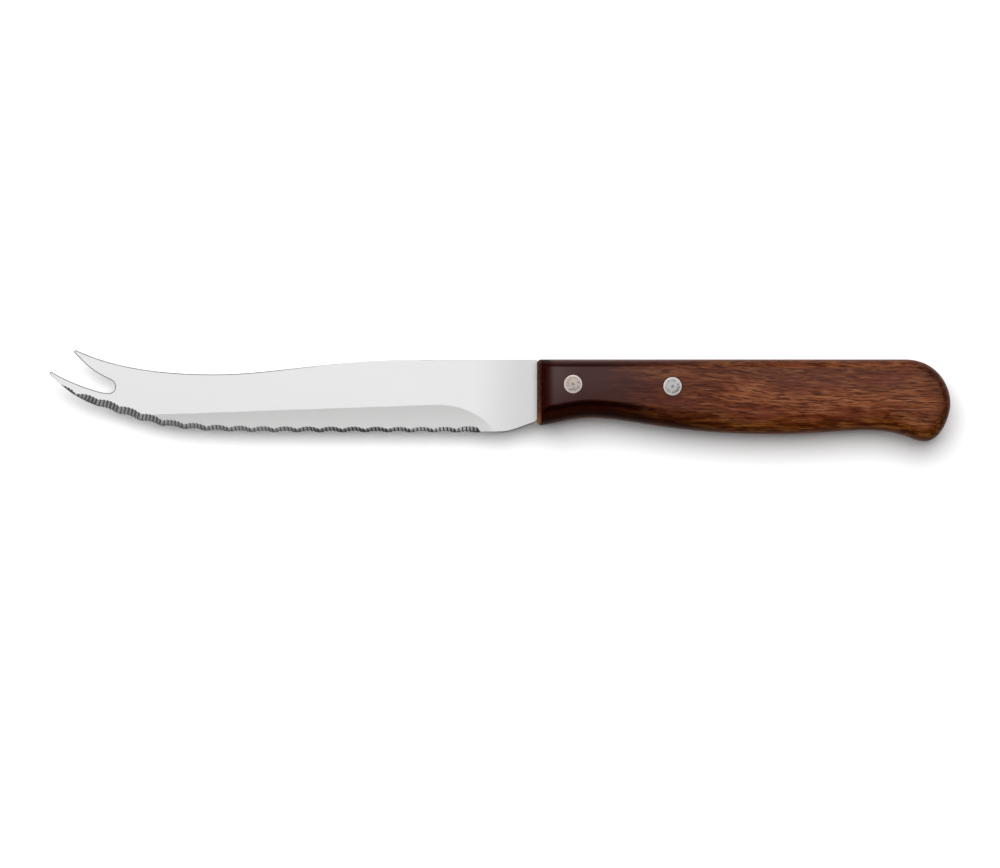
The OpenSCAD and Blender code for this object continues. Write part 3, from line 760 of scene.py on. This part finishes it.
def pin_metal(name, centre, face, rim, speck, seed, shade_side):
    """Peened end: a paler rim round a mottled middle with dark specks and a small dimple."""
    g = material_graph(name)
    offset = g.offset(centre)
    radius = g.length(offset)
    mottle = g.noise(Pattern(MOTTLE_SCALE, (seed, 0, 0), 3, 0.6))
    spots = g.noise(Pattern(SPOT_SCALE, (0, seed, 3)))
    chips = g.noise(Pattern(CHIP_SCALE, (seed, seed, 5)))
    uneven = g.plus(radius, g.times(mottle, MOTTLE_RADIUS))
    ring_share = g.fade(g.absolute(g.minus(radius, CHIP_RING)), CHIP_RING_WIDTH)
    side = g.node("VectorMath", {0: offset, 1: (*shade_side, 0)}, operation="DOT_PRODUCT")
    tone = g.mix(g.ramp(mottle, MOTTLE_SPAN), tuple(c * MOTTLE_DARKER for c in face), face)
    tone = g.mix(g.ramp(spots, SPOT_SPAN, (0.0, SPOT_SHARE)), tone, speck)
    tone = g.mix(g.ramp(uneven, PIN_RIM, (0.0, PIN_RIM_SHARE)), tone, rim)
    tone = g.mix(g.times(ring_share, g.ramp(chips, CHIP_SPAN, (0.0, CHIP_SHARE))), tone, speck)
    crescent = g.ramp(side.outputs["Value"], CRESCENT, (0.0, CRESCENT_SHARE))
    tone = g.mix(g.times(ring_share, crescent), tone, speck)
    tone = g.mix(g.fade(uneven, DIMPLE, DIMPLE_SHARE), tone, speck)
    tone = g.mix(g.ramp(radius, PIN_GAP), tone, GAP_TONE)
    return g.finish(g.node("BsdfPrincipled", {
        "Base Color": tone, "Metallic": PIN_METAL, "Roughness": g.ramp(mottle, NOISE_MIDDLE, PIN_ROUGH),
        "Normal": g.bump(mottle, PIN_RELIEF)}))


# The knife
blade = make_blade([
    steel("steel_satin", **FLAT_LOOK),
    steel("steel_hollow_ground", **GROUND_LOOK),
    steel_comb("steel_serration"),
    steel_rim("steel_rim")])
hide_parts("blade")
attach(blade, "root")

handle = make_handle()
handle.data.materials.clear()
handle.data.materials.append(Wood().material())
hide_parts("handle")
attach(handle, "root")

for name, place in RIVETS.items():
    pin = nodes[name].data
    pin.materials.clear()
    pin.materials.append(pin_metal(name + "_metal", part_point(*place), **PIN_LOOKS[name]))

# Floor, lights and world: sizes and places in metres, and the card's fade as shares of its sides
HALF_SIDE = 0.5
FLOOR_SIZE, FLOOR_GLOW, FLOOR_BOUNCE = (6, 6), 0.08, 0.80
CARD_SIZE, CARD_PLACE, CARD_GLOW, CARD_FADE = (2.70, 1.75), (0, 0.68, 2.2), 1.86, (0.28, 0.06)
KEY_SIZE, KEY_PLACE, KEY_RADIANCE = (2.2, 1.7), (-0.12, 0.78, 2.0), 5.35
WORLD_LIGHT = 0.06
WORLD_SEEN = {"Is Glossy Ray": 0.30, "Is Transmission Ray": 0.30, "Is Camera Ray": 1.0}
CENTRE = Vector((0, 0, HANDLE_T / 2 * MM))


def plane(name, size, at, normal=(0, 0, 1)):
    """A flat piece of the stage, whose own coordinates run from -HALF_SIDE to HALF_SIDE."""
    bm = bmesh.new()
    bmesh.ops.create_grid(bm, x_segments=1, y_segments=1, size=HALF_SIDE)
    mesh = bpy.data.meshes.new(name)
    bm.to_mesh(mesh)
    bm.free()
    obj = new_object(name, mesh)
    obj.scale = (*size, 1)
    obj.location = at
    obj.rotation_euler = Vector(normal).to_track_quat("Z", "Y").to_euler()
    return obj


def floor_material():
    """White where it is seen or mirrored, less bright where it lights the knife from below."""
    g = material_graph("white_floor")
    path = g.node("LightPath").outputs
    mirrored = g.larger(path["Is Glossy Ray"], path["Is Transmission Ray"])
    diffuse = g.node("BsdfDiffuse", {"Color": WHITE})
    glow = g.node("Emission", {"Color": WHITE, "Strength": FLOOR_GLOW})
    white = g.node("AddShader", {0: diffuse.outputs[0], 1: glow.outputs[0]})
    bounce = g.node("BsdfDiffuse", {"Color": (*grey(FLOOR_BOUNCE), 1)})
    return g.finish(g.node("MixShader", {
        "Fac": g.larger(path["Is Camera Ray"], mirrored), 1: bounce.outputs[0], 2: white.outputs[0]}))


def softbox(name, strength, soft):
    """Light that fades towards the border of a plane."""
    g = material_graph(name)
    x, y, _ = g.axes()
    fades = [g.fade(g.absolute(off), (HALF_SIDE - width, HALF_SIDE)) for off, width in zip((x, y), soft)]
    return g.finish(g.node("Emission", {"Color": WHITE, "Strength": g.times(*fades, strength)}))


def studio_world():
    """White where the camera sees it, a pale grey in gloss, and dim as a light."""
    g = Graph(bpy.data.worlds.new("studio"))
    path = g.node("LightPath").outputs
    strength = WORLD_LIGHT
    for kind, seen in WORLD_SEEN.items():
        strength = g.plus(g.times(path[kind], seen - WORLD_LIGHT), strength)
    return g.finish(g.node("Background", {"Color": WHITE, "Strength": strength}), "OutputWorld")


floor = plane("floor", FLOOR_SIZE, (0, 0, 0))
floor.data.materials.append(floor_material())

# The card above is what the steel and the lacquer mirror; it throws no shadow and lights nothing matt
card = plane("card_above", CARD_SIZE, CARD_PLACE, (0, 0, -1))
card.data.materials.append(softbox("card_above_glow", CARD_GLOW, CARD_FADE))
card.visible_shadow = False
card.visible_diffuse = False

# The key lamp is wide along the knife and stands behind it, a little to the fork's side
lamp = bpy.data.lights.new("key", "AREA")
lamp.shape = "RECTANGLE"
lamp.size, lamp.size_y = KEY_SIZE
lamp.energy = KEY_RADIANCE * math.pi * KEY_SIZE[0] * KEY_SIZE[1]
key = new_object("key", lamp)
key.location = KEY_PLACE
key.rotation_euler = (CENTRE - key.location).to_track_quat("-Z", "Y").to_euler()
key.visible_glossy = False

scene = bpy.context.scene
scene.world = studio_world()
scene.view_settings.view_transform = "Standard"

# The photograph looks straight down, and its pixels are counted at the height of the blade
PHOTO_PIXELS, PIXELS_PER_METRE = 1000, 4500
VIEW_CENTRE = (0.00008, -0.00851)
LENS, SENSOR, CLIP_END = 250.0, 36.0, 20.0
cam = bpy.data.cameras.new("camera")
cam.lens = LENS
cam.sensor_width = SENSOR
cam.clip_end = CLIP_END
camera = new_object("camera", cam)
camera.location = (*VIEW_CENTRE, CENTRE.z + PHOTO_PIXELS / PIXELS_PER_METRE * LENS / SENSOR)
scene.camera = camera
